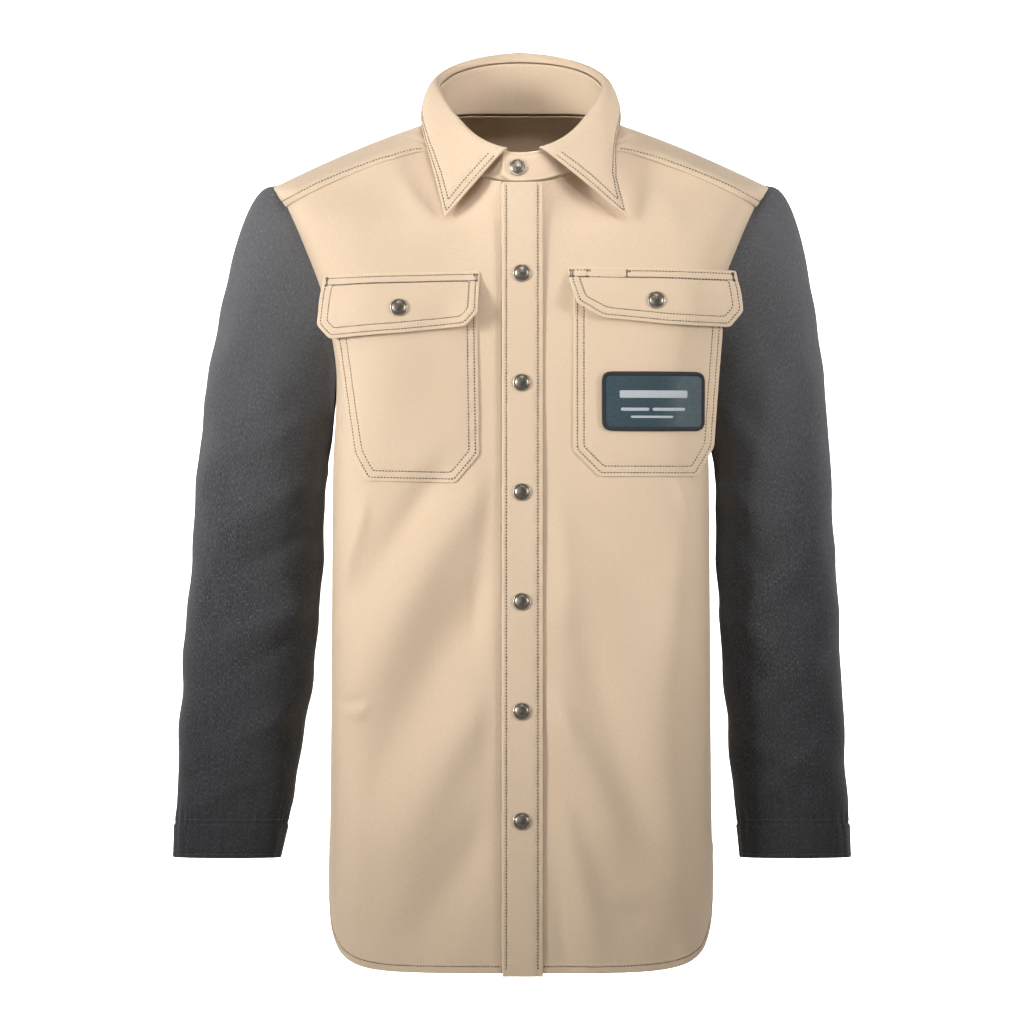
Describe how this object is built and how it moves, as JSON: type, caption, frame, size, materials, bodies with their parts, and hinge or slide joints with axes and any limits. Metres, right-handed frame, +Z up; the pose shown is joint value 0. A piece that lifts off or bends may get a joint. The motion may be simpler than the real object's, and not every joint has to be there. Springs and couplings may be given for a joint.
{
  "type": "welding work shirt",
  "caption": "Snap-front work shirt with canvas body, denim sleeves, double yoke, turned-down collar and flap chest pockets, for welding and workshop wear.",
  "frame": {"origin": "rest for the hanger: middle of the neck, level with the shoulder ridges where they meet the collar", "axes": "+X towards the wearer's left, -Y is the front, +Z up along the length of the garment"},
  "size_m": [0.6354, 0.243, 0.8633],
  "materials": {
    "canvas": "light tan duck cotton",
    "canvas_inside": "reverse of the tan duck cotton",
    "denim": "charcoal denim",
    "snap_metal": "antique gunmetal snap",
    "patch_satin": "dark teal satin weave",
    "patch_thread": "black merrowed thread"
  },
  "bodies": {
    "torso": {"right_front_panel": "canvas", "left_front_panel": "canvas", "back_panel": "canvas", "yoke": "canvas", "yoke_lining": "canvas_inside", "under_placket": "canvas", "collar_stand": "canvas", "collar_leaf": "canvas", "under_collar": "canvas", "placket_studs": "snap_metal", "placket_posts": "snap_metal", "left_pocket": "canvas", "right_pocket": "canvas", "left_pocket_stud": "snap_metal", "left_pocket_post": "snap_metal", "right_pocket_stud": "snap_metal", "right_pocket_post": "snap_metal", "patch_ground": "patch_satin", "patch_border": "patch_thread", "collar_snap_cap": "snap_metal", "collar_snap_socket": "snap_metal", "collar_snap_stud": "snap_metal", "collar_snap_post": "snap_metal", "left_sleeve_head": "denim", "right_sleeve_head": "denim"},
    "placket": {"front_placket": "canvas", "placket_caps": "snap_metal", "placket_sockets": "snap_metal"},
    "left_flap": {"left_pocket_flap": "canvas", "left_flap_cap": "snap_metal", "left_flap_socket": "snap_metal"},
    "right_flap": {"right_pocket_flap": "canvas", "right_flap_cap": "snap_metal", "right_flap_socket": "snap_metal"},
    "left_upper_sleeve_body": {"left_shoulder_section": "denim", "left_upper_sleeve": "denim", "left_elbow_section": "denim"},
    "left_forearm_body": {"left_lower_sleeve": "denim", "left_cuff_band": "denim"},
    "right_upper_sleeve_body": {"right_shoulder_section": "denim", "right_upper_sleeve": "denim", "right_elbow_section": "denim"},
    "right_forearm_body": {"right_lower_sleeve": "denim", "right_cuff_band": "denim"}
  },
  "joints": [
    {"name": "placket_open", "type": "hinge", "parent": "torso", "child": "placket", "pos_m": [0.0207, -0.10922, -0.3948], "axis": [0, 0.0393, 0.9992], "range_deg": [0, 120]},
    {"name": "left_flap_lift", "type": "hinge", "parent": "torso", "child": "left_flap", "pos_m": [0.123, -0.1042, -0.1356], "axis": [-1, 0, 0], "range_deg": [0, 120]},
    {"name": "right_flap_lift", "type": "hinge", "parent": "torso", "child": "right_flap", "pos_m": [-0.112, -0.1049, -0.1396], "axis": [-1, 0, 0], "range_deg": [0, 120]},
    {"name": "left_shoulder_raise", "type": "hinge", "parent": "torso", "child": "left_upper_sleeve_body", "pos_m": [0.2365, -0.005, -0.336], "axis": [0, -1, 0], "range_deg": [0, 40], "deforming": ["left_shoulder_section"]},
    {"name": "right_shoulder_raise", "type": "hinge", "parent": "torso", "child": "right_upper_sleeve_body", "pos_m": [-0.2425, -0.005, -0.333], "axis": [0, 1, 0], "range_deg": [0, 40], "deforming": ["right_shoulder_section"]},
    {"name": "left_elbow_bend", "type": "hinge", "parent": "left_upper_sleeve_body", "child": "left_forearm_body", "pos_m": [0.2415, -0.0088, -0.46], "axis": [-1, 0, 0], "range_deg": [0, 70], "deforming": ["left_elbow_section"]},
    {"name": "right_elbow_bend", "type": "hinge", "parent": "right_upper_sleeve_body", "child": "right_forearm_body", "pos_m": [-0.2512, -0.0088, -0.46], "axis": [-1, 0, 0], "range_deg": [0, 70], "deforming": ["right_elbow_section"]}
  ]
}
